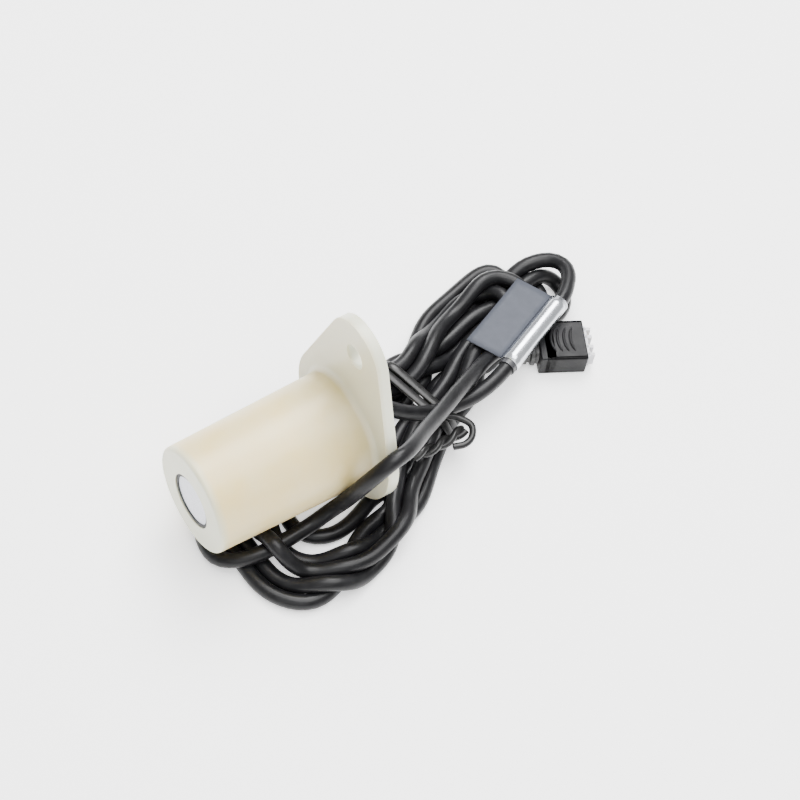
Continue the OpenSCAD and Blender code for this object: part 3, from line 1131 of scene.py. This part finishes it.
@dataclass
class PlugConnector:
    """The plug: a stepped neck, a shell with curved grips, and a pale insert, along +Y. Millimetres."""

    at: Point = (-5.2, 79.4, 3.4)
    turn: float = -27.0
    neck: float = 5.0
    width: float = 12.0
    length: float = 12.5
    height: float = 6.8
    wall: float = 1.2
    insert: float = 8.0
    grips: tuple[float, ...] = (4.2, 5.9, 7.6, 9.3)
    squareness: float = 0.6

    def _place(self) -> Matrix:
        """Gives the plug's place on the floor."""
        return Matrix.Translation(Vector(self.at) * MM) @ Matrix.Rotation(math.radians(self.turn), 4, "Z")

    def _block(self, mesh: bmesh.types.BMesh, low: Point, high: Point) -> None:
        """Adds a box between two corners.

        Args:
            mesh: the bmesh that takes the box.
            low: its lowest corner.
            high: its highest corner.
        """
        corners = [Vector((x, y, z)) * MM for z in (low[2], high[2])
                   for x, y in ((low[0], low[1]), (high[0], low[1]), (high[0], high[1]), (low[0], high[1]))]
        sweep(mesh, [corners[:4], corners[4:]])

    def _shell(self) -> bpy.types.Object:
        """Builds the shell: four walls and a solid back.

        Returns:
            The shell.
        """
        mesh = bmesh.new()
        half_w, half_h, front = self.width / 2, self.height / 2, self.neck + self.length
        wall, back = self.wall, self.neck
        self._block(mesh, (-half_w, back + 1.2, half_h - wall), (half_w, front, half_h))
        self._block(mesh, (-half_w, back + 1.2, -half_h), (half_w, front, -half_h + wall))
        for side in (-1, 1):
            inner, outer = sorted((side * (half_w - wall), side * half_w))
            self._block(mesh, (inner, back + 1.2, -half_h), (outer, front, half_h))
        self._block(mesh, (-half_w, back, -half_h), (half_w, front - self.insert, half_h))
        return finish_mesh("plug_shell", mesh, smooth=False)

    def _grips(self) -> bpy.types.Object:
        """Builds the curved grips that stand on the shell's broad faces.

        Returns:
            The grips, as one piece.
        """
        mesh = bmesh.new()
        top = self.height / 2
        for face in (-1, 1):
            for y in self.grips:
                rings = []
                for k in range(11):
                    share = k / 10 * 2 - 1
                    x = share * self.width * 0.31
                    middle = Vector((x, self.neck + y - 0.9 * (1 - share**2), face * (top - 0.05)))
                    half = 0.42 * math.sqrt(max(1 - share**4, 0.06))
                    rise = 0.42 * math.sqrt(max(1 - share**6, 0.06))
                    ring = [middle + Vector((0, half * math.cos(a), face * rise * math.sin(a)))
                            for a in np.linspace(0, 2 * math.pi, 12, endpoint=False)]
                    rings.append([point * MM for point in ring])
                sweep(mesh, rings)
        return finish_mesh("plug_grips", mesh)

    def _sleeve(self) -> bpy.types.Object:
        """Builds the neck: a tapered sleeve with rings around it.

        Returns:
            The neck.
        """
        mesh = bmesh.new()
        steps = (
            (-0.6, 2.15, 2.15), (0.2, 2.9, 2.6), (1.0, 4.2, 2.8), (1.8, 4.3, 2.9), (2.0, 3.7, 2.6),
            (2.7, 3.7, 2.6), (2.9, 4.5, 3.0), (3.9, 4.6, 3.1), (4.1, 4.0, 2.8), (5.0, 4.2, 2.9),
        )
        rings = []
        for y, half_w, half_h in steps:
            ring = []
            for a in np.linspace(0, 2 * math.pi, 40, endpoint=False):
                c, s = math.cos(a), math.sin(a)
                x = half_w * math.copysign(abs(c) ** self.squareness, c)
                z = half_h * math.copysign(abs(s) ** self.squareness, s)
                ring.append(Vector((x, y, z)) * MM)
            rings.append(ring)
        sweep(mesh, rings)
        return finish_mesh("plug_sleeve", mesh)

    def _insert(self) -> bpy.types.Object:
        """Builds the pale insert with four teeth, with three gaps between them for contacts, which are not
        built.

        Returns:
            The insert.
        """
        mesh = bmesh.new()
        half_w, half_h = self.width / 2 - self.wall - 0.06, self.height / 2 - self.wall - 0.06
        front = self.neck + self.length
        back = front - self.insert + 0.1
        self._block(mesh, (-half_w, back, -half_h), (half_w, front + 0.9, -half_h + 0.9))
        self._block(mesh, (-half_w, back, half_h - 0.9), (half_w, front + 0.9, half_h))
        self._block(mesh, (-half_w, back, -half_h + 0.8), (half_w, front - 0.6, half_h - 0.8))
        for x in (-3.9, -1.5, 1.5, 3.9):
            self._block(mesh, (x - 0.5, back + 0.2, -half_h), (x + 0.5, front + 2.1, half_h))
        return finish_mesh("plug_insert", mesh, smooth=False)

    def build(self, finishes: Finishes) -> list[bpy.types.Object]:
        """Builds the plug.

        Args:
            finishes: the materials.

        Returns:
            The plug's pieces.
        """
        made = [
            (self._shell(), "shell_plastic", "connector_shell", 0.45),
            (self._grips(), "shell_plastic", "connector_shell", 0.0),
            (self._sleeve(), "boot_rubber", "connector_neck", 0.12),
            (self._insert(), "insert_plastic", "connector_insert", 0.12),
        ]
        for piece, slot, node, rounding in made:
            piece.data.transform(self._place())
            if rounding:
                bevel(piece, rounding * MM)
            finishes.dress(piece, slot)
            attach(piece, BODY)
            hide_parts(node)
            LOG.info("%s built", piece.name)
        return [piece for piece, *_ in made]


# ---- The head ----


@dataclass
class SensorHead:
    """The moulded head and what is inside it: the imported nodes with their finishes."""

    def build(self, finishes: Finishes) -> None:
        """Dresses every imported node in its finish.

        Args:
            finishes: the materials.
        """
        for part in frame["record"]["subparts"]:
            node = frame["nodes"][part["node"]]
            node.data.materials.clear()
            node.data.materials.append(finishes.material(part["material_slot"]))
            LOG.info("%s dressed as %s", node.name, part["material_slot"])


# ---- The studio ----


@dataclass
class Studio:
    """The pale floor, the soft lights and the camera."""

    look_at: Point = (-0.0087, 0.0453, 0.0)
    distance: float = 0.614
    azimuth: float = 46.61
    elevation: float = 56.66
    roll: float = 11.64
    lens: float = 108.0
    glow: float = 0.8

    def camera(self) -> None:
        """Makes the camera and the scene use it."""
        around, above, roll = (math.radians(a) for a in (self.azimuth, self.elevation, self.roll))
        flat = math.cos(above)
        ahead = Vector((-math.sin(around) * flat, math.cos(around) * flat, -math.sin(above)))
        level = Vector((math.cos(around), math.sin(around), 0))
        upright = level.cross(ahead)
        right = level * math.cos(roll) + upright * math.sin(roll)
        up = upright * math.cos(roll) - level * math.sin(roll)
        data = bpy.data.cameras.new("camera")
        data.lens = self.lens
        data.sensor_width = 36.0
        data.clip_start = 0.01
        camera = bpy.data.objects.new("camera", data)
        turn = Matrix((right, up, -ahead)).transposed().to_4x4()
        camera.matrix_world = Matrix.Translation(Vector(self.look_at) - ahead * self.distance) @ turn
        bpy.context.collection.objects.link(camera)
        bpy.context.scene.camera = camera

    def _light(self, name: str, place: Point, size: float, watts: float) -> None:
        """Adds a square softbox that faces the object.

        Args:
            name: the light's name.
            place: where it stands, in metres.
            size: its side in metres.
            watts: its power.
        """
        data = bpy.data.lights.new(name, "AREA")
        data.shape = "SQUARE"
        data.size = size
        data.energy = watts
        light = bpy.data.objects.new(name, data)
        light.location = place
        towards = Vector((0.0, 0.04, 0.01)) - Vector(place)
        light.rotation_euler = towards.to_track_quat("-Z", "Y").to_euler()
        bpy.context.collection.objects.link(light)

    def _floor(self) -> None:
        """Lays the pale floor."""
        mesh = bmesh.new()
        bmesh.ops.create_grid(mesh, x_segments=8, y_segments=8, size=FLOOR_SIZE / 2)
        floor = finish_mesh("floor", mesh)
        floor.location.z = -0.02 * MM
        graph = Graph("floor")
        clouds = graph.remap(graph.noise(0.4), 0.3, 0.7)
        graph.set(base_color=graph.mix((0.95, 0.95, 0.95), (0.93, 0.93, 0.93), clouds), roughness=0.8)
        graph.set(
            emission_color=graph.mix((1, 1, 1), (0.98, 0.98, 0.98), clouds),
            emission_strength=self.glow,
        )
        floor.data.materials.append(graph.material)

    def build(self) -> None:
        """Builds the floor, the lights and the pale surroundings."""
        self._floor()
        self._light("key_softbox", (-0.45, 0.45, 0.9), 0.6, 20.0)
        self._light("fill_softbox", (0.7, -0.6, 0.7), 0.8, 4.0)
        self._light("top_softbox", (0.1, 0.1, 1.2), 1.0, 30.0)
        world = bpy.data.worlds.new("surroundings")
        world.use_nodes = True
        world.node_tree.nodes["Background"].inputs[0].default_value = (1, 1, 1, 1)
        world.node_tree.nodes["Background"].inputs[1].default_value = 0.8
        bpy.context.scene.world = world


def main() -> None:
    """Builds the whole scene in order."""
    logging.basicConfig(level=logging.INFO, format="%(message)s")
    finishes = Finishes()
    studio = Studio()
    studio.camera()
    lead = TiedLead()
    cable = lead.build(finishes)
    label = FlagLabel().build(finishes)
    tie = TwistTie().build(finishes, lead)
    plug = PlugConnector().build(finishes)
    lead.declare(cable)
    SensorHead().build(finishes)
    studio.build()


if __name__ == "__main__":
    main()
